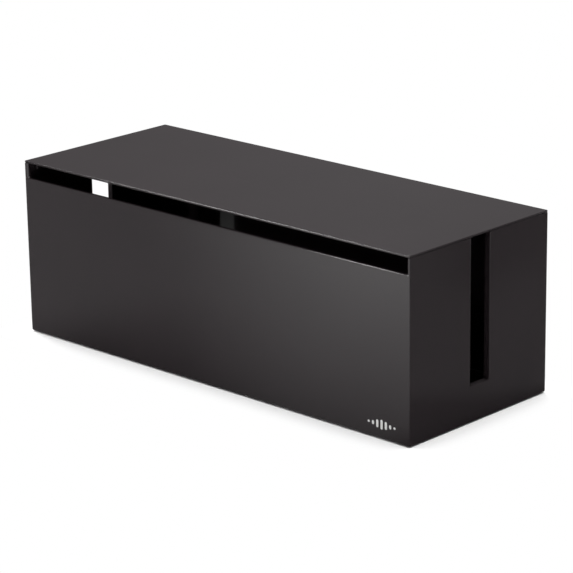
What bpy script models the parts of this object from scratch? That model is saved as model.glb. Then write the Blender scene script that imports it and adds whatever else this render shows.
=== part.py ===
"""Cable box: an open-topped moulded tub with a lift-off lid, standing on four rubber feet.

Metres, +Z up. +X runs along the box to its right end, and the front panel faces -Y.
The origin is the middle of the footprint, on the surface that the feet stand on.
"""

import bmesh
import bpy
from mathutils import Matrix, Vector

# Outside sizes
LENGTH = 0.405
DEPTH = 0.156
HEIGHT = 0.143

# Moulding
WALL = 0.003
FLOOR = 0.003
CORNER_RADIUS = 0.0012
INSIDE_RADIUS = 0.002
ARC_STEPS = 3
FIT_GAP = 0.0003

# Openings in the tub
FRONT_PANEL_TOP = 0.129
END_SLOT_WIDTH = 0.0216
END_SLOT_SILL = 0.0285
SLOT_CORNER_RADIUS = 0.001
BEAD_DEPTH = 0.002
BEAD_WIDTH = 0.004

# Lid
LID_THICKNESS = 0.003
LID_RIM_THICKNESS = 0.0015
LID_EDGE_RADIUS = 0.0008
LID_SIDE_CLEARANCE = 0.0004
RIB_THICKNESS = 0.002
RIB_DEPTH = 0.005
RIB_SETBACK = 0.0008
RIB_FRONT_STOP = 0.008
RIB_SLOT_CLEARANCE = 0.006

# Feet
FOOT_STAND = 0.001
FOOT_RADIUS = 0.007
FOOT_THICKNESS = 0.0016
FOOT_EDGE_RADIUS = 0.0003
FOOT_SIDES = 32
FOOT_INSET = 0.016

# Worked out from the sizes above
HALF_LENGTH = LENGTH / 2
HALF_DEPTH = DEPTH / 2
INSIDE_HALF_LENGTH = HALF_LENGTH - WALL
INSIDE_HALF_DEPTH = HALF_DEPTH - WALL
FLOOR_TOP = FOOT_STAND + FLOOR
LID_UNDERSIDE = HEIGHT - LID_THICKNESS
RIM_UNDERSIDE = HEIGHT - LID_RIM_THICKNESS
WALL_TOP = RIM_UNDERSIDE - FIT_GAP
BEAD_TOP = LID_UNDERSIDE - 2 * FIT_GAP
HALF_SLOT = END_SLOT_WIDTH / 2
PAST = 0.005  # how far a cutter runs past the face that it cuts


def clear_scene():
    """Remove whatever objects the file starts with."""
    for obj in list(bpy.data.objects):
        bpy.data.objects.remove(obj, do_unlink=True)


def plastic(name, colour, roughness):
    """A plain Principled material."""
    material = bpy.data.materials.new(name)
    material.use_nodes = True
    shader = material.node_tree.nodes["Principled BSDF"]
    shader.inputs["Base Color"].default_value = (*colour, 1.0)
    shader.inputs["Roughness"].default_value = roughness
    shader.inputs["Metallic"].default_value = 0.0
    return material


def add_object(name, form, material=None, location=(0, 0, 0)):
    """Turn a bmesh into a named object in the scene."""
    mesh = bpy.data.meshes.new(name)
    form.to_mesh(mesh)
    form.free()
    obj = bpy.data.objects.new(name, mesh)
    obj.location = location
    bpy.context.collection.objects.link(obj)
    if material:
        mesh.materials.append(material)
    return obj


def runs_along(edge, axis):
    """True where an edge is parallel to an axis, given as 0, 1 or 2."""
    step = edge.verts[1].co - edge.verts[0].co
    return abs(step[axis]) > 0.999 * step.length


def round_edges(form, edges, radius):
    bmesh.ops.bevel(
        form, geom=edges, offset=radius, segments=ARC_STEPS, profile=0.5, affect="EDGES"
    )


def block(low, high):
    """A box between two corners, as a bmesh."""
    low, high = Vector(low), Vector(high)
    form = bmesh.new()
    place = Matrix.Translation((low + high) / 2) @ Matrix.Diagonal((*(high - low), 1.0))
    bmesh.ops.create_cube(form, size=1.0, matrix=place)
    return form


def prism(outline, bottom, top):
    """An upright solid on an outline of points in plan, as a bmesh."""
    form = bmesh.new()
    base = form.faces.new([form.verts.new((x, y, bottom)) for x, y in outline])
    raised = bmesh.ops.extrude_face_region(form, geom=[base])["geom"]
    rise = (0, 0, top - bottom)
    bmesh.ops.translate(
        form, vec=rise, verts=[v for v in raised if isinstance(v, bmesh.types.BMVert)]
    )
    bmesh.ops.recalc_face_normals(form, faces=form.faces[:])
    return form


def disc(radius, bottom, top, centre=(0, 0)):
    """An upright cylinder, as a bmesh."""
    form = bmesh.new()
    bmesh.ops.create_cone(
        form,
        cap_ends=True,
        segments=FOOT_SIDES,
        radius1=radius,
        radius2=radius,
        depth=top - bottom,
        matrix=Matrix.Translation((*centre, (bottom + top) / 2)),
    )
    return form


def combine(obj, name, form, operation):
    """Cut a form from an object, or join it on, with a live Boolean."""
    tool = add_object(name, form)
    tool.hide_render = True
    tool.display_type = "WIRE"
    boolean = obj.modifiers.new(name, "BOOLEAN")
    boolean.operation = operation
    boolean.solver = "EXACT"
    boolean.object = tool


def foot_places():
    """The name and the centre of each foot."""
    for side, x in (("left", -1), ("right", 1)):
        for end, y in (("front", -1), ("rear", 1)):
            centre = (x * (HALF_LENGTH - FOOT_INSET), y * (HALF_DEPTH - FOOT_INSET))
            yield f"foot_{end}_{side}", centre


def make_body(material):
    """The tub: floor, rear wall, two end walls with cord slots, and a lower front panel."""
    form = block(
        (-HALF_LENGTH, -HALF_DEPTH, FOOT_STAND), (HALF_LENGTH, HALF_DEPTH, WALL_TOP + PAST)
    )
    round_edges(form, form.edges[:], CORNER_RADIUS)
    body = add_object("box_body", form, material)

    above = block(
        (-HALF_LENGTH - PAST, -HALF_DEPTH - PAST, WALL_TOP),
        (HALF_LENGTH + PAST, HALF_DEPTH + PAST, WALL_TOP + 2 * PAST),
    )
    combine(body, "cut_above_walls", above, "DIFFERENCE")

    hollow = block(
        (-INSIDE_HALF_LENGTH, -INSIDE_HALF_DEPTH, FLOOR_TOP),
        (INSIDE_HALF_LENGTH, INSIDE_HALF_DEPTH, WALL_TOP + PAST),
    )
    round_edges(hollow, hollow.edges[:], INSIDE_RADIUS)
    combine(body, "cut_hollow", hollow, "DIFFERENCE")

    front = block(
        (-INSIDE_HALF_LENGTH, -HALF_DEPTH - PAST, FRONT_PANEL_TOP),
        (INSIDE_HALF_LENGTH, -INSIDE_HALF_DEPTH + PAST, WALL_TOP + PAST),
    )
    combine(body, "cut_front_slot", front, "DIFFERENCE")

    for side, x in (("left", -1), ("right", 1)):
        bead_face = INSIDE_HALF_LENGTH - BEAD_DEPTH
        low, high = sorted((x * bead_face, x * (INSIDE_HALF_LENGTH + WALL / 2)))
        bead = block(
            (low, -HALF_SLOT - BEAD_WIDTH, END_SLOT_SILL - BEAD_WIDTH),
            (high, HALF_SLOT + BEAD_WIDTH, BEAD_TOP),
        )
        combine(body, f"join_{side}_bead", bead, "UNION")
        low, high = sorted((x * (bead_face - PAST), x * (HALF_LENGTH + PAST)))
        slot = block((low, -HALF_SLOT, END_SLOT_SILL), (high, HALF_SLOT, WALL_TOP + PAST))
        round_edges(slot, [e for e in slot.edges if runs_along(e, 0)], SLOT_CORNER_RADIUS)
        combine(body, f"cut_{side}_slot", slot, "DIFFERENCE")

    for name, centre in foot_places():
        recess_top = FOOT_THICKNESS + FIT_GAP
        recess = disc(FOOT_RADIUS + FIT_GAP, FOOT_STAND - PAST, recess_top, centre)
        combine(body, f"cut_{name}", recess, "DIFFERENCE")
    return body


def three_sided(half_length, rear, front, far_half_length, far_rear):
    """The outline between two nested rectangles that are both open towards the front."""
    return [
        (half_length, front), (half_length, rear), (-half_length, rear), (-half_length, front),
        (-far_half_length, front), (-far_half_length, far_rear),
        (far_half_length, far_rear), (far_half_length, front),
    ]


def round_rear_corners(form, half_length, rear):
    """Round the upright edges at the two rear corners of one of those rectangles."""
    corners = [
        e for e in form.edges
        if runs_along(e, 2)
        and abs(abs(e.verts[0].co.x) - half_length) < FIT_GAP / 2
        and abs(e.verts[0].co.y - rear) < FIT_GAP / 2
    ]
    round_edges(form, corners, INSIDE_RADIUS)


def make_lid(material):
    """The lid: a plate rebated to sit on the end and rear walls, with locating ribs under it."""
    form = block((-HALF_LENGTH, -HALF_DEPTH, LID_UNDERSIDE), (HALF_LENGTH, HALF_DEPTH, HEIGHT))
    round_edges(form, [e for e in form.edges if runs_along(e, 2)], CORNER_RADIUS)
    top = [e for e in form.edges if all(v.co.z > RIM_UNDERSIDE for v in e.verts)]
    round_edges(form, top, LID_EDGE_RADIUS)
    lid = add_object("lid", form, material)

    plug_half_length = INSIDE_HALF_LENGTH - LID_SIDE_CLEARANCE
    plug_rear = INSIDE_HALF_DEPTH - LID_SIDE_CLEARANCE
    outline = three_sided(
        plug_half_length, plug_rear, -HALF_DEPTH - PAST, HALF_LENGTH + PAST, HALF_DEPTH + PAST
    )
    rebate = prism(outline, LID_UNDERSIDE - PAST, RIM_UNDERSIDE)
    round_rear_corners(rebate, plug_half_length, plug_rear)
    combine(lid, "cut_rebate", rebate, "DIFFERENCE")

    rib_bottom = LID_UNDERSIDE - RIB_DEPTH
    rib_top = LID_UNDERSIDE + LID_THICKNESS / 2
    rib_end = plug_half_length - RIB_SETBACK
    rib_rear = plug_rear - RIB_SETBACK
    slot_stop = HALF_SLOT + RIB_SLOT_CLEARANCE
    outline = three_sided(
        rib_end - RIB_THICKNESS, rib_rear - RIB_THICKNESS, slot_stop, rib_end, rib_rear
    )
    rear_rib = prism(outline, rib_bottom, rib_top)
    round_rear_corners(rear_rib, rib_end, rib_rear)
    combine(lid, "join_rear_rib", rear_rib, "UNION")
    for side, x in (("left", -1), ("right", 1)):
        inner, outer = sorted((x * (rib_end - RIB_THICKNESS), x * rib_end))
        front_rib = block(
            (inner, -HALF_DEPTH + RIB_FRONT_STOP, rib_bottom), (outer, -slot_stop, rib_top)
        )
        combine(lid, f"join_front_{side}_rib", front_rib, "UNION")
    return lid


def make_foot(name, centre, material):
    """A round rubber pad, with its origin at the middle of the face that it stands on."""
    form = disc(FOOT_RADIUS, 0.0, FOOT_THICKNESS)
    rims = [e for e in form.edges if abs(e.verts[0].co.z - e.verts[1].co.z) < FOOT_EDGE_RADIUS]
    round_edges(form, rims, FOOT_EDGE_RADIUS)
    foot = add_object(name, form, material, (*centre, 0.0))
    foot.data.shade_smooth()
    foot.data.set_sharp_from_angle(angle=0.6)
    return foot


clear_scene()
make_body(plastic("body_gloss_black", (0.012, 0.011, 0.012), 0.16))
make_lid(plastic("lid_satin_black", (0.014, 0.013, 0.014), 0.24))
for foot_name, foot_centre in foot_places():
    make_foot(foot_name, foot_centre, plastic(foot_name + "_rubber", (0.03, 0.03, 0.03), 0.8))
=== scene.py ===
import math
from itertools import product

import bmesh
import bpy
from bpy.props import FloatProperty, FloatVectorProperty, IntProperty, PointerProperty
from mathutils import Matrix, Vector


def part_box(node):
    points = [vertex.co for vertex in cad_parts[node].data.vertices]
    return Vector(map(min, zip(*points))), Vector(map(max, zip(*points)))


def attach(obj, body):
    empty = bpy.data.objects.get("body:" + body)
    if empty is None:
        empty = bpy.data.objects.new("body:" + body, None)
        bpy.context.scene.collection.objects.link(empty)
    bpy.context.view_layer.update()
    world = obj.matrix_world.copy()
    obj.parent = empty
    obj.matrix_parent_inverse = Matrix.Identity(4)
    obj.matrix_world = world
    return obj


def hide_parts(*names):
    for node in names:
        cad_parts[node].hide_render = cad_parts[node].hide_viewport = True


bl_info = {
    "name": "Cable Box Looks",
    "version": (1, 0, 0),
    "blender": (4, 5, 0),
    "location": "3D View > Sidebar > Cable Box",
    "description": "Builds the tub, lid, feet, printed mark and stage of a cable management box",
    "category": "Object",
}

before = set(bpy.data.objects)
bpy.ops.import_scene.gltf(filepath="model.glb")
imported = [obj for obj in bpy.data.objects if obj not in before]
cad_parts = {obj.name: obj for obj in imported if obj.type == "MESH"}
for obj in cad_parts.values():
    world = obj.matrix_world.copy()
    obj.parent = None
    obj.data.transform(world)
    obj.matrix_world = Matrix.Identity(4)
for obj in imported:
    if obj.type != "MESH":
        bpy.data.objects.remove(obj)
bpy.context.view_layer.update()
TUB_LOW, TUB_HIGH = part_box("box_body")
LID_LOW, LID_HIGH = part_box("lid")
FEET = sorted(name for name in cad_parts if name.startswith("foot_"))

# An edge that turns by more than SHARP_ANGLE gets rounded, and one by less than FLAT_ANGLE is dissolved.
SHARP_ANGLE = math.radians(20)
FLAT_ANGLE = math.radians(1)
FOOT_SHARP_ANGLE = math.radians(50)
UPRIGHT = 0.9
TOLERANCE = 1e-5
MERGE_DISTANCE = 1e-7

# Steps in a rounded edge, a foot's rim, half a groove and a quarter of a bar's end, and sides of the discs.
ROUNDING_STEPS = 5
RIM_STEPS = 8
GROOVE_STEPS = 4
BAR_STEPS = 10
CUTTER_SIDES = 96
PIN_SIDES = 32

PLASTIC_IOR = 1.5
WHITE = (1.0, 1.0, 1.0, 1.0)


# ------------------------------------------------------------------ settings


def length(name, text, default):
    """A size in metres, as an add-on property."""
    return FloatProperty(name=name, description=text, default=default, min=0, precision=5, unit="LENGTH")


def share(name, text, default):
    """A number from 0 to 1, as an add-on property."""
    return FloatProperty(name=name, description=text, default=default, min=0, max=1, precision=4)


def angle(name, text, degrees):
    """An angle, given in degrees, as an add-on property."""
    return FloatProperty(name=name, description=text, default=math.radians(degrees), subtype="ANGLE")


def colour(name, text, default):
    """A linear colour, as an add-on property."""
    return FloatVectorProperty(
        name=name, description=text, default=default, size=3, min=0, max=1, subtype="COLOR"
    )


class CableBoxTub(bpy.types.PropertyGroup):
    """Sizes of the tub."""

    wall: length("Wall", "Thickness of the floor, and of the walls at their top", 0.003)
    draft: angle("Draft", "Lean of the long walls' inside, for the mould", 1)
    front_drop: length("Front drop", "From the lid's top down to the front panel's top", 0.014)
    slot_width: length("Slot width", "Width of the cord slot in each end", 0.0216)
    slot_sill: length("Slot sill", "Height of the end slots' sill above the ground", 0.0285)
    bead_depth: length("Bead depth", "How far the bead round an end slot stands inwards", 0.002)
    bead_width: length("Bead width", "Width of the bead round an end slot", 0.004)
    bead_gap: length("Bead gap", "From the lid's plate down to the beads' top", 0.0006)
    outer_radius: length("Outer radius", "Rounding of the corners and the bottom edges", 0.0005)
    inner_radius: length("Inner radius", "Rounding where floor and walls meet inside", 0.002)
    rim_radius: length("Rim radius", "Rounding of the front panel's top", 0.0008)
    slot_radius: length("Slot radius", "Rounding of the end slots' rims and their beads", 0.0003)
    top_radius: length("Top radius", "Rounding of the wall tops that the lid sits on", 0.0003)
    slot_end_radius: length("Slot end radius", "Rounding at the two ends of the front slot", 0.0024)
    recess_gap: length("Recess gap", "Room round each foot in its recess", 0.0003)
    print_relief: length("Print relief", "Thickness of the printed mark's ink", 0.00005)


class CableBoxLid(bpy.types.PropertyGroup):
    """Sizes of the lid."""

    thickness: length("Thickness", "Thickness of the plate", 0.003)
    seam: length("Seam", "Height of the fine gap between walls and rim", 0.0003)
    clearance: length("Clearance", "Room between the plate and the walls' inside", 0.0004)
    rib_width: length("Rib width", "Thickness of the locating ribs", 0.002)
    rib_setback: length("Rib setback", "From the plate's edge in to the ribs", 0.0008)
    rib_front: length("Rib front", "From the front edge back to where the end ribs start", 0.008)
    rib_gap: length("Rib gap", "From an end slot's side to the nearest rib", 0.006)
    corner_radius: length("Corner radius", "Rounding of the upright corners", 0.0008)
    top_radius: length("Top radius", "Rounding of the top edge", 0.0004)
    under_radius: length("Under radius", "Rounding of the edges underneath", 0.0003)
    front_radius: length("Front radius", "Rounding under the front edge", 0.0006)
    undercut: length("Undercut", "How far back the slope under the front edge reaches", 0.004)


class CableBoxFeet(bpy.types.PropertyGroup):
    """Sizes of the rubber feet."""

    edge_radius: length("Edge radius", "Rounding of a pad's rim", 0.0003)
    dish: length("Dish", "How deep the pad's middle is dished underneath", 0.00035)
    groove_count: IntProperty(name="Grooves", description="Ring grooves in a pad", default=3, min=0)
    groove_depth: length("Groove depth", "Depth of each ring groove", 0.0003)
    groove_width: share("Groove width", "Width of a groove, as a share of the grooves' pitch", 0.6)
    sides: IntProperty(name="Sides", description="Steps round a pad", default=96, min=12)


class CableBoxMarks(bpy.types.PropertyGroup):
    """Sizes of the printed mark and of the marks that ejector pins leave."""

    print_x: length("Print place", "From the right end in to the printed mark's middle", 0.0265)
    print_z: length("Print level", "From the tub's bottom up to the mark's middle", 0.0106)
    print_height: length("Print height", "Height of the printed mark's tallest bar", 0.0074)
    print_pitch: length("Print pitch", "From one bar of the printed mark to the next", 0.0041)
    print_bar: length("Print bar", "Width of the printed mark's bars", 0.0021)
    print_sides: IntProperty(name="Side bars", description="Bars on each side of the tallest one",
                             default=3, min=1)
    print_swing: share("Print swing", "Rise and fall of the bars' height, as a share of the tallest", 0.38)
    pin_radius: length("Pin radius", "Radius of an ejector pin's mark", 0.004)
    pin_relief: length("Pin relief", "How far an ejector pin's mark stands proud", 0.00006)
    columns: IntProperty(name="Columns", description="Pin marks along the box", default=5, min=1)
    rows: IntProperty(name="Rows", description="Pin marks across the box", default=2, min=1)
    pin_length: share("Pin length", "Length of the pin marks' grid, as a share of the box's", 0.85)
    pin_depth: share("Pin depth", "Depth of the pin marks' grid, as a share of the box's", 0.6)


class CableBoxFinish(bpy.types.PropertyGroup):
    """Colours and surface of the materials."""

    plastic: colour("Plastic", "Colour of the black plastic", (0.0150, 0.0112, 0.0126))
    tub_roughness: share("Tub roughness", "Roughness of the gloss tub", 0.06)
    lid_roughness: share("Lid roughness", "Roughness of the satin lid", 0.15)
    peel_size: length("Peel size", "Width of the ripples that a moulded surface has", 0.0028)
    peel_height: length("Peel height", "Height of those ripples", 0.0000016)
    wave_size: length("Wave size", "Width of the slow waves that cooling leaves", 0.035)
    wave_height: length("Wave height", "Height of those waves", 0.000012)
    grain_size: length("Grain size", "Width of the fine grain", 0.00035)
    tub_grain: length("Tub grain", "Height of the tub's fine grain", 0.0000004)
    lid_grain: length("Lid grain", "Height of the lid's fine grain", 0.000003)
    cloud_size: length("Cloud size", "Width of the soft changes in the plastic's colour", 0.09)
    smear_size: length("Smear size", "Width of the marks that handling leaves", 0.05)
    hair_size: length("Hair size", "Spacing of the hairline scratches", 0.004)
    rub_width: length("Rub width", "Width of the rubbed strip along an outer edge", 0.0011)
    dust_pitch: length("Dust pitch", "Spacing of the dust specks", 0.011)
    dust: colour("Dust", "Colour of the dust", (0.30, 0.29, 0.28))
    rubber: colour("Rubber", "Colour of the feet", (0.020, 0.019, 0.019))
    speckle_size: length("Speckle size", "Width of the rubber's fine speckle", 0.0006)
    speckle_height: length("Speckle height", "Height of that speckle", 0.00002)
    bloom_size: length("Bloom size", "Width of the rubber's pale bloom", 0.006)
    ink: colour("Ink", "Colour of the printed mark", (0.62, 0.62, 0.61))
    ink_size: length("Ink size", "Width of the ink's thick and thin spots", 0.0009)
    ink_height: length("Ink height", "Height of those spots", 0.000004)


class CableBoxStage(bpy.types.PropertyGroup):
    """Camera, floor and light."""

    azimuth: angle("Azimuth", "Where the camera stands, from the front round to the right", 43.607)
    elevation: angle("Elevation", "How high the camera stands", 17.462)
    roll: angle("Roll", "Turn of the camera about its line of sight", -0.846)
    distance: length("Distance", "From the camera to the point that it looks at", 2.0404)
    aim_height: length("Aim height", "Height of the point that the camera looks at", 0.07)
    aim_right: FloatProperty(name="Aim right", description="Move of that point to the camera's right",
                             default=0.00706, precision=5, unit="LENGTH")
    aim_up: FloatProperty(name="Aim up", description="Move of that point upwards, as the camera sees it",
                          default=-0.00883, precision=5, unit="LENGTH")
    lens: FloatProperty(name="Lens", description="Focal length, in mm", default=165.35, min=1)
    sensor: FloatProperty(name="Sensor", description="Width of the sensor, in mm", default=36, min=1)
    floor_size: length("Floor size", "Side of the square floor", 14.0)
    floor_colour: colour("Floor colour", "Colour of the floor", (0.86, 0.86, 0.86))


GROUPS = {
    "tub": CableBoxTub,
    "lid": CableBoxLid,
    "feet": CableBoxFeet,
    "marks": CableBoxMarks,
    "finish": CableBoxFinish,
    "stage": CableBoxStage,
}


class CableBoxSettings(bpy.types.PropertyGroup):
    """Everything that can be set on the box and its stage."""

    tub: PointerProperty(type=CableBoxTub)
    lid: PointerProperty(type=CableBoxLid)
    feet: PointerProperty(type=CableBoxFeet)
    marks: PointerProperty(type=CableBoxMarks)
    finish: PointerProperty(type=CableBoxFinish)
    stage: PointerProperty(type=CableBoxStage)


# ------------------------------------------------------------------ mesh tools


def add_object(name, form):
    """Put a bmesh in the scene as a named object."""
    mesh = bpy.data.meshes.new(name)
    form.to_mesh(mesh)
    form.free()
    obj = bpy.data.objects.new(name, mesh)
    bpy.context.scene.collection.objects.link(obj)
    return obj


def settle(obj):
    """Give an object the mesh that its modifiers make, and drop the modifiers."""
    graph = bpy.context.evaluated_depsgraph_get()
    shaped = obj.evaluated_get(graph)
    finished = bpy.data.meshes.new_from_object(shaped, preserve_all_data_layers=True, depsgraph=graph)
    finished.name = obj.name
    obj.modifiers.clear()
    rough, obj.data = obj.data, finished
    bpy.data.meshes.remove(rough)
    return obj


def cell_solid(planes, filled):
    """A closed solid of the box cells between planes along X, Y and Z whose middles filled says yes to."""
    form = bmesh.new()
    corners = {}

    def corner(index):
        if index not in corners:
            corners[index] = form.verts.new([planes[axis][index[axis]] for axis in range(3)])
        return corners[index]

    def middle(cell):
        return [(planes[axis][cell[axis]] + planes[axis][cell[axis] + 1]) / 2 for axis in range(3)]

    cells = product(*(range(len(plane) - 1) for plane in planes))
    solid = {cell for cell in cells if filled(*middle(cell))}
    for cell, axis, side in product(sorted(solid), range(3), (0, 1)):
        beside = list(cell)
        beside[axis] += 2 * side - 1
        if tuple(beside) in solid:
            continue
        loop = []
        for across, along in ((0, 0), (1, 0), (1, 1), (0, 1)):
            index = list(cell)
            index[axis] += side
            index[(axis + 1) % 3] += across
            index[(axis + 2) % 3] += along
            loop.append(corner(tuple(index)))
        form.faces.new(loop if side else loop[::-1])
    form.normal_update()
    bmesh.ops.dissolve_limit(form, angle_limit=FLAT_ANGLE, verts=form.verts[:], edges=form.edges[:])
    return form


def round_off(obj, radius_at):
    """Round every sharp edge by what radius_at(middle, direction, convex) says, with true normals."""
    form = bmesh.new()
    form.from_mesh(obj.data)
    weights = form.edges.layers.float.new("bevel_weight_edge")
    radii = {}
    for edge in form.edges:
        turn = edge.calc_face_angle_signed(0)
        if abs(turn) > SHARP_ANGLE:
            start, end = (vert.co for vert in edge.verts)
            radii[edge] = radius_at((start + end) / 2, (end - start).normalized(), turn > 0)
    largest = max(radii.values())
    for edge, radius in radii.items():
        edge[weights] = radius / largest
    form.to_mesh(obj.data)
    form.free()
    obj.data.shade_smooth()
    bevel = obj.modifiers.new("Rounding", "BEVEL")
    bevel.limit_method = "WEIGHT"
    bevel.width = largest
    bevel.segments = ROUNDING_STEPS
    bevel.use_clamp_overlap = False
    true = obj.modifiers.new("Flat faces stay flat", "WEIGHTED_NORMAL")
    true.mode = "FACE_AREA"
    true.weight = 100
    return settle(obj)


def mirrored(*values):
    """Plane positions on both sides of zero, in rising order."""
    return sorted([-value for value in values] + list(values))


def close(value, target):
    """Whether two lengths are the same, give or take the meshes' precision."""
    return abs(value - target) < TOLERANCE


# ------------------------------------------------------------------ shader tools


class Wire:
    """A shader socket that takes part in sums with other sockets and numbers."""

    def __init__(self, recipe, socket):
        self.recipe = recipe
        self.socket = socket

    def maths(self, operation, first, second):
        """A Math node on two sockets or numbers."""
        return self.recipe.node("ShaderNodeMath", {"operation": operation}, {0: first, 1: second})

    def __add__(self, other):
        return self.maths("ADD", self, other)

    def __sub__(self, other):
        return self.maths("SUBTRACT", self, other)

    def __rsub__(self, other):
        return self.maths("SUBTRACT", other, self)

    def __mul__(self, other):
        return self.maths("MULTIPLY", self, other)

    def __truediv__(self, other):
        return self.maths("DIVIDE", self, other)

    def __rtruediv__(self, other):
        return self.maths("DIVIDE", other, self)

    def __abs__(self):
        return self.maths("ABSOLUTE", self, 0.0)

    __radd__ = __add__
    __rmul__ = __mul__

    def at_least(self, other):
        return self.maths("MAXIMUM", self, other)

    def at_most(self, other):
        return self.maths("MINIMUM", self, other)


class Recipe:
    """One node tree of a material or a world, with the steps that its finish is made of."""

    def __init__(self, owner):
        owner.use_nodes = True
        self.tree = owner.node_tree
        self.owner = owner

    def node(self, kind, settings=None, inputs=None, output=0):
        """Add a node, set it up, feed its sockets and give one of its outputs."""
        made = self.tree.nodes.new(kind)
        for key, value in (settings or {}).items():
            if key == "stops":
                self.set_stops(made.color_ramp, value)
            else:
                setattr(made, key, value)
        for key, value in (inputs or {}).items():
            self.feed(made.inputs[key], value)
        return Wire(self, made.outputs[output])

    @staticmethod
    def set_stops(ramp, stops):
        """Give a colour ramp grey stops, as pairs of place and value."""
        while len(ramp.elements) < len(stops):
            ramp.elements.new(1.0)
        for element, (place, value) in zip(ramp.elements, stops):
            element.position = place
            element.color = (value, value, value, 1.0)

    def feed(self, socket, value):
        """Link a socket to a wire, or set it to a number, a colour or a vector."""
        if isinstance(value, Wire):
            self.tree.links.new(value.socket, socket)
        else:
            socket.default_value = value

    def place(self):
        """Position in the piece's own space."""
        return self.node("ShaderNodeTexCoord", output="Object")

    def stretched(self, place, scale):
        """A position times a scale along each axis."""
        return self.node("ShaderNodeVectorMath", {"operation": "MULTIPLY"}, {0: place, 1: scale})

    def noise(self, place, size, detail=2.0, rough=0.5):
        """Soft noise whose bumps are about that size across, from 0 to 1."""
        return self.node(
            "ShaderNodeTexNoise",
            {"noise_dimensions": "3D"},
            {"Vector": place, "Scale": 1 / size, "Detail": detail, "Roughness": rough},
        )

    def ramp(self, value, stops):
        """A number led through the stops of a ramp."""
        return self.node("ShaderNodeValToRGB", {"stops": stops}, {0: value})

    def between(self, value, start, end):
        """A smooth step from 0 where a number is at the start to 1 where it is at the end."""
        return self.node(
            "ShaderNodeMapRange",
            {"interpolation_type": "SMOOTHSTEP"},
            {"Value": value, "From Min": start, "From Max": end},
        )

    def tint(self, amount, dark, light):
        """A colour between two colours."""
        return self.node("ShaderNodeMix", {"data_type": "RGBA"}, {0: amount, 6: dark, 7: light}, output=2)

    def split(self, place):
        """The X, Y and Z of a position."""
        first = self.node("ShaderNodeSeparateXYZ", None, {0: place})
        return [Wire(self, part) for part in first.socket.node.outputs]

    def relief(self, height, distance, under=None):
        """A bump of a height from 0 to 1, which stands for that many metres, over another bump."""
        inputs = {"Strength": 1.0, "Distance": distance, "Height": height}
        if under is not None:
            inputs["Normal"] = under
        return self.node("ShaderNodeBump", None, inputs)

    def light_path(self, output):
        """1 for rays of one kind, such as Is Camera Ray, and 0 for the others."""
        return self.node("ShaderNodeLightPath", output=output)

    def glow(self, kind, strength):
        """White light of a strength, from an emission or a background node."""
        return self.node(kind, None, {"Color": WHITE, "Strength": strength})

    def blend(self, share_of_second, first, second):
        """A mix of two shaders."""
        return self.node("ShaderNodeMixShader", None, {0: share_of_second, 1: first, 2: second})

    def shade(self, **inputs):
        """Feed the material's own shader; a word with _ stands for a socket's name with spaces."""
        shader = self.tree.nodes["Principled BSDF"]
        for key, value in inputs.items():
            self.feed(shader.inputs[key.replace("_", " ")], value)
        return self.owner


def new_recipe(name):
    """The recipe of a new material."""
    return Recipe(bpy.data.materials.new(name))


def shaded(tone, factor):
    """A colour times a number, with its alpha."""
    return (*(min(1.0, part * factor) for part in tone), 1.0)


def outer_edge_mask(recipe, place, low, high, width):
    """Near 1 along the outer edges of the box between two corners, and 0 away from them."""
    middle = (low + high) / 2
    half = (high - low) / 2
    centred = recipe.node("ShaderNodeVectorMath", {"operation": "SUBTRACT"}, {0: place, 1: middle})
    near = [
        recipe.between(abs(part), half[axis] - width, half[axis])
        for axis, part in enumerate(recipe.split(centred))
    ]
    return (near[0] * near[1]).at_least(near[1] * near[2]).at_least(near[0] * near[2])


# How the handling marks and the hairline scratches are drawn out, and where a scratch or a speck shows.
SMEAR_STRETCH = (1.0, 3.0, 2.0)
HAIR_STRETCH = (0.25, 6.0, 6.0)
SCRATCH_STOPS = [(0.0, 0.0), (0.71, 0.0), (0.75, 1.0), (1.0, 1.0)]
DUST_STOPS = [(0.0, 1.0), (0.012, 1.0), (0.02, 0.0), (1.0, 0.0)]


def moulded_plastic(name, roughness, grain_height, low, high):
    """Black moulded ABS: slow waves, fine peel, faint handling marks, dust, and edges rubbed brighter."""
    finish = bpy.context.scene.cable_box.finish
    recipe = new_recipe(name)
    place = recipe.place()
    cloud = recipe.noise(place, finish.cloud_size, detail=3.0)
    smear = recipe.noise(recipe.stretched(place, SMEAR_STRETCH), finish.smear_size, detail=4.0, rough=0.6)
    wave = recipe.noise(place, finish.wave_size, detail=0.0)
    peel = recipe.noise(place, finish.peel_size, detail=1.0)
    grain = recipe.noise(place, finish.grain_size, detail=2.0, rough=0.6)
    hair = recipe.noise(recipe.stretched(place, HAIR_STRETCH), finish.hair_size, detail=2.0)
    scratch = recipe.ramp(hair, SCRATCH_STOPS)
    rubbed = outer_edge_mask(recipe, place, low, high, finish.rub_width)
    spots = {"Vector": place, "Scale": 1 / finish.dust_pitch}
    speck = recipe.node("ShaderNodeTexVoronoi", {"feature": "F1"}, spots)
    dust = recipe.ramp(speck, DUST_STOPS)

    base = recipe.tint(cloud, shaded(finish.plastic, 0.86), shaded(finish.plastic, 1.14))
    base = recipe.tint(rubbed * 0.1, base, shaded(finish.plastic, 1.9))
    base = recipe.tint(dust * 0.1, base, shaded(finish.dust, 1.0))
    rough = roughness + (smear - 0.5) * 0.05 + scratch * 0.03 + rubbed * 0.05 + dust * 0.1
    bumpy = recipe.relief(wave, finish.wave_height)
    bumpy = recipe.relief(peel, finish.peel_height, under=bumpy)
    bumpy = recipe.relief(grain, grain_height, under=bumpy)
    return recipe.shade(
        Base_Color=base, Roughness=rough, Normal=bumpy, IOR=PLASTIC_IOR, Specular_IOR_Level=0.5
    )


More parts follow.
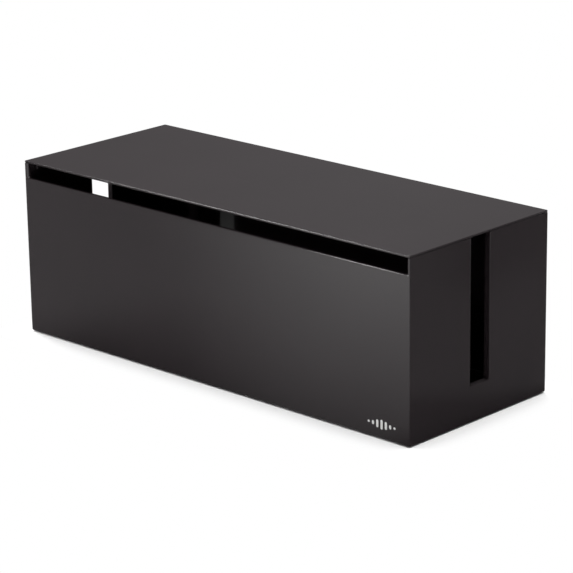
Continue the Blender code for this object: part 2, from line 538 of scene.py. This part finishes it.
def moulded_rubber(name):
    """Matt dark rubber with a fine speckle and a dusty bloom."""
    finish = bpy.context.scene.cable_box.finish
    recipe = new_recipe(name)
    place = recipe.place()
    speckle = recipe.noise(place, finish.speckle_size, detail=3.0, rough=0.7)
    bloom = recipe.noise(place, finish.bloom_size, detail=2.0)
    base = recipe.tint(bloom, shaded(finish.rubber, 0.8), shaded(finish.rubber, 1.6))
    rough = 0.72 + speckle * 0.2
    bumpy = recipe.relief(speckle, finish.speckle_height)
    return recipe.shade(Base_Color=base, Roughness=rough, Normal=bumpy, IOR=PLASTIC_IOR)


def printing_ink(name):
    """Pale pad-printing ink, slightly uneven and thinner at random spots."""
    finish = bpy.context.scene.cable_box.finish
    recipe = new_recipe(name)
    place = recipe.place()
    cover = recipe.noise(place, finish.ink_size, detail=3.0, rough=0.6)
    thick = recipe.between(cover, 0.25, 0.55)
    base = recipe.tint(thick, shaded(finish.ink, 0.72), shaded(finish.ink, 1.05))
    rough = 0.38 + cover * 0.15
    bumpy = recipe.relief(cover, finish.ink_height)
    return recipe.shade(Base_Color=base, Roughness=rough, Normal=bumpy, IOR=PLASTIC_IOR)


# ------------------------------------------------------------------ pieces


def finish_piece(obj, material, body, slot, nodes=()):
    """Give a piece its material and body, and hide the CAD nodes that it stands for."""
    obj.data.materials.clear()
    obj.data.materials.append(material)
    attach(obj, body)
    if nodes:
        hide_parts(*nodes)


def disc_cutter(low, high, gap):
    """An upright cylinder round a foot's box, standing proud of it below, as an object."""
    form = bmesh.new()
    radius = (high.x - low.x) / 2 + gap
    drop = high.z - low.z
    bmesh.ops.create_cone(
        form, cap_ends=True, segments=CUTTER_SIDES, radius1=radius, radius2=radius, depth=2 * drop,
        matrix=Matrix.Translation(((low.x + high.x) / 2, (low.y + high.y) / 2, high.z + gap - drop)),
    )
    return add_object("recess_cutter", form)


def wedge_cutter(outline, half_length):
    """A prism along X over an outline of points in Y and Z, as an object."""
    form = bmesh.new()
    left, right = ([form.verts.new((x, y, z)) for y, z in outline] for x in (-half_length, half_length))
    form.faces.new(left)
    form.faces.new(right[::-1])
    for index in range(len(outline)):
        form.faces.new((left[index - 1], left[index], right[index], right[index - 1]))
    bmesh.ops.recalc_face_normals(form, faces=form.faces[:])
    return add_object("undercut_cutter", form)


def carve(obj, cutters):
    """Cut other objects out of an object, and drop them."""
    for cutter in cutters:
        cut = obj.modifiers.new("Cut", "BOOLEAN")
        cut.operation = "DIFFERENCE"
        cut.solver = "EXACT"
        cut.object = cutter
    settle(obj)
    for cutter in cutters:
        bpy.data.objects.remove(cutter, do_unlink=True)


def make_tub(sizes):
    """The tub: floor, rear wall, slotted end walls and the lower front panel, with all edges rounded."""
    half_x, half_y = TUB_HIGH.x, TUB_HIGH.y
    inside_x, inside_y = half_x - sizes.wall, half_y - sizes.wall
    bead_x = inside_x - sizes.bead_depth
    half_slot = sizes.slot_width / 2
    bead_y = half_slot + sizes.bead_width
    floor_top = TUB_LOW.z + sizes.wall
    bead_bottom = sizes.slot_sill - sizes.bead_width
    bead_top = LID_HIGH.z - bpy.context.scene.cable_box.lid.thickness - sizes.bead_gap
    panel_top = LID_HIGH.z - sizes.front_drop
    front = -half_y + sizes.print_relief

    def filled(x, y, z):
        x, slot = abs(x), abs(y) < half_slot and z > sizes.slot_sill
        if z < floor_top:
            return True
        if x > inside_x:
            return not slot
        if abs(y) > inside_y:
            return y > 0 or z < panel_top
        return x > bead_x and abs(y) < bead_y and bead_bottom < z < bead_top and not slot

    def radius_at(middle, direction, convex):
        at_end = close(abs(middle.x), half_x)
        at_side = close(middle.y, front) or close(middle.y, half_y)
        at_slot = abs(middle.y) < 2 * bead_y and abs(middle.x) > bead_x / 2
        upright = abs(direction.z) > UPRIGHT
        if close(middle.z, TUB_HIGH.z):
            return sizes.top_radius
        if close(middle.z, TUB_LOW.z):
            return sizes.outer_radius if at_end or at_side else sizes.top_radius
        if middle.z < floor_top - TOLERANCE:
            return sizes.top_radius
        if close(middle.z, floor_top):
            return sizes.inner_radius
        if at_slot:
            return sizes.slot_radius
        if not convex:
            return sizes.inner_radius
        if upright and at_side:
            return sizes.outer_radius if at_end else sizes.slot_end_radius
        return sizes.rim_radius

    planes = (
        mirrored(half_x, inside_x, bead_x),
        [front, -inside_y, -bead_y, -half_slot, half_slot, bead_y, inside_y, half_y],
        [TUB_LOW.z, floor_top, bead_bottom, sizes.slot_sill, panel_top, bead_top, TUB_HIGH.z],
    )
    form = cell_solid(planes, filled)
    for vert in form.verts:
        if close(abs(vert.co.y), inside_y):
            vert.co.y -= math.copysign((TUB_HIGH.z - vert.co.z) * math.tan(sizes.draft), vert.co.y)
    tub = add_object("tub_moulding", form)
    carve(tub, [disc_cutter(*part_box(name), sizes.recess_gap) for name in FEET])
    return round_off(tub, radius_at)


def make_lid(sizes, tub):
    """The lid: plate, thinner rim on three sides, and locating ribs, made to fit the tub."""
    half_x, half_y = LID_HIGH.x, LID_HIGH.y
    plate_x, plate_rear = half_x - tub.wall - sizes.clearance, half_y - tub.wall - sizes.clearance
    rib_x, rib_rear = plate_x - sizes.rib_setback, plate_rear - sizes.rib_setback
    rib_inner_x, rib_inner_y = rib_x - sizes.rib_width, rib_rear - sizes.rib_width
    rib_front = -half_y + sizes.rib_front
    slot_stop = tub.slot_width / 2 + sizes.rib_gap
    underside = LID_HIGH.z - sizes.thickness
    rim_underside = TUB_HIGH.z + sizes.seam

    def filled(x, y, z):
        x = abs(x)
        if z > rim_underside:
            return True
        if z > underside:
            return x < plate_x and y < plate_rear
        if x > rib_x or y > rib_rear or y < rib_front:
            return False
        return y > rib_inner_y or (x > rib_inner_x and abs(y) > slot_stop)

    def radius_at(middle, direction, convex):
        if close(middle.z, LID_HIGH.z):
            return sizes.top_radius
        if close(middle.z, rim_underside) and close(middle.y, -half_y):
            return sizes.front_radius
        upright = abs(direction.z) > UPRIGHT
        if upright and close(abs(middle.x), half_x):
            return sizes.corner_radius
        plate_corner = close(abs(middle.x), plate_x) and close(middle.y, plate_rear)
        rib_corner = close(abs(middle.x), rib_x) and close(middle.y, rib_rear)
        return tub.inner_radius if upright and (plate_corner or rib_corner) else sizes.under_radius

    planes = (
        mirrored(half_x, plate_x, rib_x, rib_inner_x),
        [-half_y, rib_front, -slot_stop, slot_stop, rib_inner_y, rib_rear, plate_rear, half_y],
        [LID_LOW.z, underside, rim_underside, LID_HIGH.z],
    )
    lid = add_object("lid_moulding", cell_solid(planes, filled))
    rise = rim_underside - underside
    slope = [
        (-half_y + sizes.undercut, underside), (-half_y - sizes.undercut, underside + 2 * rise),
        (-half_y - sizes.undercut, underside - rise),
    ]
    carve(lid, [wedge_cutter(slope, half_x)])
    return round_off(lid, radius_at)


def foot_profile(radius, tall, sizes):
    """Half a pad's section, as points of radius and height from the top's middle to the underside's."""
    edge = sizes.edge_radius
    inner = radius - edge
    profile = [(0.0, tall), (inner, tall)]
    for step in range(1, RIM_STEPS + 1):
        turn = math.pi / 2 * step / RIM_STEPS
        profile.append((inner + edge * math.sin(turn), tall - edge + edge * math.cos(turn)))
    for step in range(RIM_STEPS + 1):
        turn = math.pi / 2 * step / RIM_STEPS
        profile.append((inner + edge * math.cos(turn), edge - edge * math.sin(turn)))
    # The grooves lie a pitch apart, and leave one and a half for the rim's flat and the dished middle.
    pitch = inner / (sizes.groove_count + 1.5)
    for groove in range(sizes.groove_count):
        middle = inner - pitch * (groove + 0.75)
        for step in range(-GROOVE_STEPS, GROOVE_STEPS + 1):
            across = step / GROOVE_STEPS
            rise = sizes.groove_depth * math.cos(math.pi / 2 * across)
            profile.append((middle - pitch * sizes.groove_width / 2 * across, rise))
    return profile + [(pitch * 0.6, 0.0), (pitch * 0.4, sizes.dish), (0.0, sizes.dish)]


def make_foot(name, sizes):
    """A turned rubber pad: rounded rim, flat top, and a dished underside with ring grooves."""
    low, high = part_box(name)
    form = bmesh.new()
    profile = foot_profile((high.x - low.x) / 2, high.z - low.z, sizes)
    verts = [form.verts.new((out, 0.0, up)) for out, up in profile]
    edges = [form.edges.new(pair) for pair in zip(verts, verts[1:])]
    bmesh.ops.spin(
        form, geom=verts + edges, cent=(0, 0, 0), axis=(0, 0, 1), angle=2 * math.pi, steps=sizes.sides
    )
    bmesh.ops.remove_doubles(form, verts=form.verts[:], dist=MERGE_DISTANCE)
    bmesh.ops.recalc_face_normals(form, faces=form.faces[:])
    bottom = ((low.x + high.x) / 2, (low.y + high.y) / 2, low.z)
    bmesh.ops.translate(form, verts=form.verts[:], vec=bottom)
    foot = add_object(name.replace("foot", "pad"), form)
    foot.data.shade_smooth()
    foot.data.set_sharp_from_angle(angle=FOOT_SHARP_ANGLE)
    return foot


def rounded_bar(form, low, high, front, back):
    """Add an upright plate with round ends between two corners in X and Z."""
    radius = min(high[0] - low[0], high[1] - low[1]) / 2
    centres = [
        (high[0] - radius, high[1] - radius), (low[0] + radius, high[1] - radius),
        (low[0] + radius, low[1] + radius), (high[0] - radius, low[1] + radius),
    ]
    outline = []
    for quarter, (x, z) in enumerate(centres):
        for step in range(BAR_STEPS + 1):
            turn = math.pi / 2 * (quarter + step / BAR_STEPS)
            outline.append((x + radius * math.cos(turn), z + radius * math.sin(turn)))
    face = form.faces.new([form.verts.new((x, back, z)) for x, z in outline])
    raised = bmesh.ops.extrude_face_region(form, geom=[face])["geom"]
    lifted = [part for part in raised if isinstance(part, bmesh.types.BMVert)]
    bmesh.ops.translate(form, vec=(0, front - back, 0), verts=lifted)


def make_printed_mark(sizes, relief):
    """A plain generic sign in ink: a row of upright bars that rises and falls like a wave."""
    middle_x = TUB_HIGH.x - sizes.print_x
    middle_z = TUB_LOW.z + sizes.print_z
    back = TUB_LOW.y + relief
    half_width = sizes.print_bar / 2
    form = bmesh.new()
    for place in range(-sizes.print_sides, sizes.print_sides + 1):
        x = middle_x + place * sizes.print_pitch
        swing = sizes.print_swing * math.cos(place * math.pi / sizes.print_sides)
        half_height = sizes.print_height / 2 * (1 - sizes.print_swing + swing)
        low, high = (x - half_width, middle_z - half_height), (x + half_width, middle_z + half_height)
        rounded_bar(form, low, high, TUB_LOW.y, back)
    bmesh.ops.remove_doubles(form, verts=form.verts[:], dist=MERGE_DISTANCE)
    bmesh.ops.recalc_face_normals(form, faces=form.faces[:])
    return add_object("front_mark", form)


def pin_mark_tree():
    """Geometry nodes that set round pin marks out on a grid at one height."""
    tree = bpy.data.node_groups.new("PinMarks", "GeometryNodeTree")
    face = tree.interface
    face.new_socket("Geometry", in_out="INPUT", socket_type="NodeSocketGeometry")
    for name, kind in (
        ("Size X", "Float"), ("Size Y", "Float"), ("Columns", "Int"), ("Rows", "Int"),
        ("Height", "Float"), ("Radius", "Float"), ("Relief", "Float"), ("Material", "Material"),
    ):
        face.new_socket(name, in_out="INPUT", socket_type="NodeSocket" + kind)
    face.new_socket("Geometry", in_out="OUTPUT", socket_type="NodeSocketGeometry")
    nodes, links = tree.nodes, tree.links
    given, result = nodes.new("NodeGroupInput"), nodes.new("NodeGroupOutput")
    grid, disc = nodes.new("GeometryNodeMeshGrid"), nodes.new("GeometryNodeMeshCylinder")
    lift, lift_by = nodes.new("GeometryNodeTransform"), nodes.new("ShaderNodeCombineXYZ")
    spread, real = nodes.new("GeometryNodeInstanceOnPoints"), nodes.new("GeometryNodeRealizeInstances")
    coat = nodes.new("GeometryNodeSetMaterial")
    disc.inputs["Vertices"].default_value = PIN_SIDES
    for socket, target in (
        ("Size X", grid.inputs["Size X"]), ("Size Y", grid.inputs["Size Y"]),
        ("Columns", grid.inputs["Vertices X"]), ("Rows", grid.inputs["Vertices Y"]),
        ("Height", lift_by.inputs["Z"]), ("Radius", disc.inputs["Radius"]),
        ("Relief", disc.inputs["Depth"]), ("Material", coat.inputs["Material"]),
    ):
        links.new(given.outputs[socket], target)
    links.new(grid.outputs["Mesh"], lift.inputs["Geometry"])
    links.new(lift_by.outputs["Vector"], lift.inputs["Translation"])
    links.new(lift.outputs["Geometry"], spread.inputs["Points"])
    links.new(disc.outputs["Mesh"], spread.inputs["Instance"])
    links.new(spread.outputs["Instances"], real.inputs["Geometry"])
    links.new(real.outputs["Geometry"], coat.inputs["Geometry"])
    links.new(coat.outputs["Geometry"], result.inputs["Geometry"])
    return tree


def make_pin_marks(name, tree, values):
    """One sheet of pin marks, as a plain mesh."""
    obj = add_object(name, bmesh.new())
    modifier = obj.modifiers.new("Pin marks", "NODES")
    modifier.node_group = tree
    for item in tree.interface.items_tree:
        if item.in_out == "INPUT" and item.name in values:
            modifier[item.identifier] = values[item.name]
    obj.data.update()
    return settle(obj)


# ------------------------------------------------------------------ stage


# Name, place and aim in metres, width and height in metres, power in watts.
LAMPS = (
    ("overhead_softbox", (0.1, 0.2, 2.8), (0, 0.2, 0), 3.2, 3.2, 165),
    ("lid_edge_light", (-1.12, 0.27, 1.35), (0.04, -0.08, 0.14), 0.5, 0.34, 18),
    ("rim_light", (-0.61, -0.96, 0.41), (0.15, -0.08, 0.13), 0.1, 0.3, 2.4),
)


def add_lamp(name, place, aim, width, height, power):
    """A soft rectangular studio light that the camera doesn't see."""
    light = bpy.data.lights.new(name, "AREA")
    light.shape = "RECTANGLE"
    light.size, light.size_y, light.energy = width, height, power
    lamp = bpy.data.objects.new(name, light)
    lamp.location = place
    lamp.rotation_euler = (Vector(aim) - Vector(place)).to_track_quat("-Z", "Y").to_euler()
    lamp.visible_camera = False
    bpy.context.scene.collection.objects.link(lamp)


# The painted fall of light and shade that reflections in the plastic see on the floor, which is a glow of the
# floor and no lamp. Strengths go from 0 to 1, places are in metres, a pair is the start and the end of a
# smooth step, and a slant or a rise is per metre.

# The dim part lies along the box as painted shade, and its glow gets stronger away from it as far as the
# reach. Past the step at the left it has its full strength close to the box too.
GLOW_REACH = 0.38
DIM_RISE = 1.75
DIM_MOST = 0.43
DIM_LEFT = (-0.12, -0.26)

# The painted pool of light at the right is brighter. Its border runs aslant, and gets softer away from the
# box.
POOL_BASE = 0.07
POOL_RISE = 3.6
POOL_EDGE = 0.0994
POOL_SLANT = 0.9
POOL_BLUR = 0.06
POOL_BLUR_RISE = 0.3

# The corner off the left end is painted shade, and its glow fades the further left it goes.
CORNER_EDGE = 0.03
CORNER_SLANT = 0.6
CORNER_STEP = (0.01, -0.02)
CORNER_START = 0.47
CORNER_RISE = 1.9
CORNER_MOST = 0.42

# The band off the right end runs aslant, to the right and the rear, and is painted shade that is darkest
# where it meets the box.
BAND_BASE = 0.10
BAND_SLANT = 1.05
BAND_START = (0.16, 0.22)
BAND_MIDDLE = 0.04
BAND_WIDTH = (0.26, 0.11)
BRIGHTER = 0.115
BRIGHTER_SLANT = 0.45
BRIGHTER_STEP = (0.220, 0.262)
DIMMER = 0.06
DIMMER_STEP = (0.36, 0.46)
DIMMER_SIDE = (-0.03, 0.03)
CONTACT_SHADE = 0.35
CONTACT_SHADE_STEP = (0.200, 0.222)

# From the box's side out to where the floor glows pure white to the camera, which paints out the box's shadow
# there.
WHITE_STEP = (0.0, 0.025)


def glow_before(recipe, x, y):
    """Strength of the floor's painted glow in front and behind: a dim part of painted shade, a brighter
    painted pool of light at the right.
    """
    far = abs(y).at_most(GLOW_REACH)
    near_box = (far * DIM_RISE).at_most(DIM_MOST)
    dim = near_box + (DIM_MOST - near_box) * recipe.between(x, *DIM_LEFT)
    corner = recipe.between(far + x * CORNER_SLANT + CORNER_EDGE, *CORNER_STEP)
    dim = dim - corner * (x * -CORNER_RISE - CORNER_START).at_least(0.0).at_most(CORNER_MOST)
    pool_place = (x + far * POOL_SLANT - POOL_EDGE) / (far * POOL_BLUR_RISE + POOL_BLUR)
    return dim + (far * POOL_RISE + POOL_BASE - dim) * recipe.between(pool_place, -1.0, 1.0)


def glow_beside(recipe, x, across):
    """Strength of the floor's painted glow in the band beside the right end, a painted shade that darkens
    where it meets the box.
    """
    brighter = recipe.between(x + across * BRIGHTER_SLANT, *BRIGHTER_STEP) * BRIGHTER
    dimmer = recipe.between(x, *DIMMER_STEP) * recipe.between(across, *DIMMER_SIDE) * DIMMER
    # Painted contact shade: the glow darkens close to the box's right end.
    contact_shade = CONTACT_SHADE + recipe.between(x, *CONTACT_SHADE_STEP) * (1 - CONTACT_SHADE)
    return (BAND_BASE + brighter - dimmer) * contact_shade


def floor_material(settings):
    """Plain pale floor that glows white to the camera a little off the box, painting out its shadow there,
    with a painted fall of light and shade that only reflections see.
    """
    recipe = new_recipe("pale_floor")
    nodes = recipe.tree.nodes
    x, y, _ = recipe.split(recipe.place())
    across = y - (x - TUB_HIGH.x) * BAND_SLANT
    band = recipe.between(x, *BAND_START) * recipe.between(abs(across - BAND_MIDDLE), *BAND_WIDTH)
    strength = glow_before(recipe, x, y) * (1.0 - band) + glow_beside(recipe, x, across) * band
    away = (abs(x) - TUB_HIGH.x).at_least(abs(y) - TUB_HIGH.y)
    # The floor glows white to the camera a little off the box, painting out the box's cast shadow there.
    white_glow_share = recipe.light_path("Is Camera Ray") * recipe.between(away, *WHITE_STEP)
    cover = recipe.node("ShaderNodeBsdfDiffuse", None, {"Color": (*settings.floor_colour, 1.0)})
    seen = recipe.blend(white_glow_share, cover, recipe.glow("ShaderNodeEmission", 1.0))
    # Painted reflection: for glossy rays the floor glows with the painted fall of light and shade.
    painted_reflection_glow = recipe.glow("ShaderNodeEmission", strength)
    both = recipe.blend(recipe.light_path("Is Glossy Ray"), seen, painted_reflection_glow)
    nodes.remove(nodes["Principled BSDF"])
    recipe.feed(nodes["Material Output"].inputs["Surface"], both)
    recipe.owner.cycles.emission_sampling = "NONE"
    return recipe.owner


# The studio's tone, its lighter and darker parts, and their soft borders along X, Y and Z of a direction.
STUDIO_TONE = 0.118
LEFT_LIFT = 0.14
LEFT_HEIGHT = (0.6, 0.3)
LEFT_START = (-0.80, -0.52)
LEFT_END = (0.2, -0.2)
UPPER_LIFT = 0.04
UPPER_STEP = (0.238, 0.262)
STRIP_DROP = 0.05
STRIP_START = (-0.645, -0.585)
STRIP_END = (-0.35, -0.50)
FRONT_LIFT = 0.4
FRONT_STEP = (-0.10, -0.40)


def set_world():
    """A white backdrop for the camera, and a dim studio, lighter at the left, and in front for gloss only."""
    world = bpy.data.worlds.new("studio")
    bpy.context.scene.world = world
    recipe = Recipe(world)
    direction = recipe.node("ShaderNodeTexCoord", output="Generated")
    x, y, z = recipe.split(direction)
    left = recipe.between(x, *LEFT_START) * recipe.between(x, *LEFT_END) * recipe.between(z, *LEFT_HEIGHT)
    upper = recipe.between(z, *UPPER_STEP)
    strip = recipe.between(x, *STRIP_START) * recipe.between(x, *STRIP_END)
    front = recipe.light_path("Is Glossy Ray") * recipe.between(y, *FRONT_STEP)
    tone = STUDIO_TONE + left * LEFT_LIFT + upper * UPPER_LIFT - strip * STRIP_DROP + front * FRONT_LIFT
    studio = recipe.glow("ShaderNodeBackground", tone)
    backdrop = recipe.glow("ShaderNodeBackground", 1.0)
    both = recipe.blend(recipe.light_path("Is Camera Ray"), studio, backdrop)
    recipe.feed(recipe.tree.nodes["World Output"].inputs["Surface"], both)


def add_camera(settings):
    """The camera, on a circle round the box, rolled a little about its line of sight."""
    back = Vector((
        math.sin(settings.azimuth) * math.cos(settings.elevation),
        -math.cos(settings.azimuth) * math.cos(settings.elevation),
        math.sin(settings.elevation),
    ))
    level = Vector((0, 0, 1)).cross(back).normalized()
    rise = back.cross(level)
    roll = settings.roll
    right = math.cos(roll) * level + math.sin(roll) * rise
    up = math.cos(roll) * rise - math.sin(roll) * level
    aim = Vector((0, 0, settings.aim_height)) + right * settings.aim_right + up * settings.aim_up
    data = bpy.data.cameras.new("camera")
    data.sensor_width = settings.sensor
    data.lens = settings.lens
    camera = bpy.data.objects.new("camera", data)
    turn = Matrix((right, up, back)).transposed()
    camera.matrix_world = Matrix.Translation(aim + back * settings.distance) @ turn.to_4x4()
    bpy.context.scene.collection.objects.link(camera)
    bpy.context.scene.camera = camera


# ------------------------------------------------------------------ operators


class CABLEBOX_OT_tub(bpy.types.Operator):
    """Mould the tub with its slots, beads and recesses"""

    bl_idname = "cablebox.tub"
    bl_label = "Mould tub"

    def execute(self, context):
        settings = context.scene.cable_box
        plastic = moulded_plastic(
            "gloss_black_abs", settings.finish.tub_roughness, settings.finish.tub_grain, TUB_LOW, TUB_HIGH
        )
        finish_piece(make_tub(settings.tub), plastic, "tub", "body_plastic", ["box_body"])
        return {"FINISHED"}


class CABLEBOX_OT_lid(bpy.types.Operator):
    """Mould the lid with its rim and ribs"""

    bl_idname = "cablebox.lid"
    bl_label = "Mould lid"

    def execute(self, context):
        settings = context.scene.cable_box
        plastic = moulded_plastic(
            "satin_black_abs", settings.finish.lid_roughness, settings.finish.lid_grain, LID_LOW, LID_HIGH
        )
        lid = make_lid(settings.lid, settings.tub)
        finish_piece(lid, plastic, "cover", "lid_plastic", ["lid"])
        return {"FINISHED"}


class CABLEBOX_OT_feet(bpy.types.Operator):
    """Turn the four rubber feet"""

    bl_idname = "cablebox.feet"
    bl_label = "Turn feet"

    def execute(self, context):
        rubber = moulded_rubber("foot_rubber")
        for name in FEET:
            finish_piece(make_foot(name, context.scene.cable_box.feet), rubber, "tub", "foot_rubber", [name])
        return {"FINISHED"}


class CABLEBOX_OT_marks(bpy.types.Operator):
    """Print the generic mark and set out the ejector pin marks"""

    bl_idname = "cablebox.marks"
    bl_label = "Add marks"

    def execute(self, context):
        settings = context.scene.cable_box
        sizes = settings.marks
        mark = make_printed_mark(sizes, settings.tub.print_relief)
        finish_piece(mark, printing_ink("pale_ink"), "tub", "body_plastic")
        tree = pin_mark_tree()
        floor_top = TUB_LOW.z + settings.tub.wall
        underside = LID_HIGH.z - settings.lid.thickness
        for name, piece, body, slot, level in (
            ("tub_pin_marks", "tub_moulding", "tub", "body_plastic", floor_top),
            ("lid_pin_marks", "lid_moulding", "cover", "lid_plastic", underside),
        ):
            plastic = bpy.data.objects[piece].data.materials[0]
            values = {
                "Size X": 2 * TUB_HIGH.x * sizes.pin_length, "Size Y": 2 * TUB_HIGH.y * sizes.pin_depth,
                "Columns": sizes.columns, "Rows": sizes.rows, "Height": level,
                "Radius": sizes.pin_radius, "Relief": 2 * sizes.pin_relief, "Material": plastic,
            }
            finish_piece(make_pin_marks(name, tree, values), plastic, body, slot)
        return {"FINISHED"}


class CABLEBOX_OT_stage(bpy.types.Operator):
    """Lay the floor and set the lights, the world and the camera"""

    bl_idname = "cablebox.stage"
    bl_label = "Set stage"

    def execute(self, context):
        settings = context.scene.cable_box.stage
        form = bmesh.new()
        bmesh.ops.create_grid(form, x_segments=1, y_segments=1, size=settings.floor_size / 2)
        floor = add_object("floor", form)
        floor.data.materials.append(floor_material(settings))
        for lamp in LAMPS:
            add_lamp(*lamp)
        set_world()
        add_camera(settings)
        context.scene.view_settings.view_transform = "Standard"
        return {"FINISHED"}


OPERATORS = (
    CABLEBOX_OT_tub, CABLEBOX_OT_lid, CABLEBOX_OT_feet, CABLEBOX_OT_marks, CABLEBOX_OT_stage,
)


class CABLEBOX_PT_panel(bpy.types.Panel):
    """Sidebar panel with the box's steps and settings"""

    bl_label = "Cable Box"
    bl_space_type = "VIEW_3D"
    bl_region_type = "UI"
    bl_category = "Cable Box"

    def draw(self, context):
        for operator in OPERATORS:
            self.layout.operator(operator.bl_idname)
        settings = context.scene.cable_box
        for name, group in GROUPS.items():
            column = self.layout.box().column()
            column.label(text=name.capitalize())
            for key in group.__annotations__:
                column.prop(getattr(settings, name), key)


CLASSES = (*GROUPS.values(), CableBoxSettings, *OPERATORS, CABLEBOX_PT_panel)


def register():
    for cls in CLASSES:
        bpy.utils.register_class(cls)
    bpy.types.Scene.cable_box = PointerProperty(type=CableBoxSettings)


def unregister():
    del bpy.types.Scene.cable_box
    for cls in reversed(CLASSES):
        bpy.utils.unregister_class(cls)


def main():
    register()
    bpy.ops.cablebox.tub()
    bpy.ops.cablebox.lid()
    bpy.ops.cablebox.feet()
    bpy.ops.cablebox.marks()
    bpy.ops.cablebox.stage()


if __name__ == "__main__":
    main()
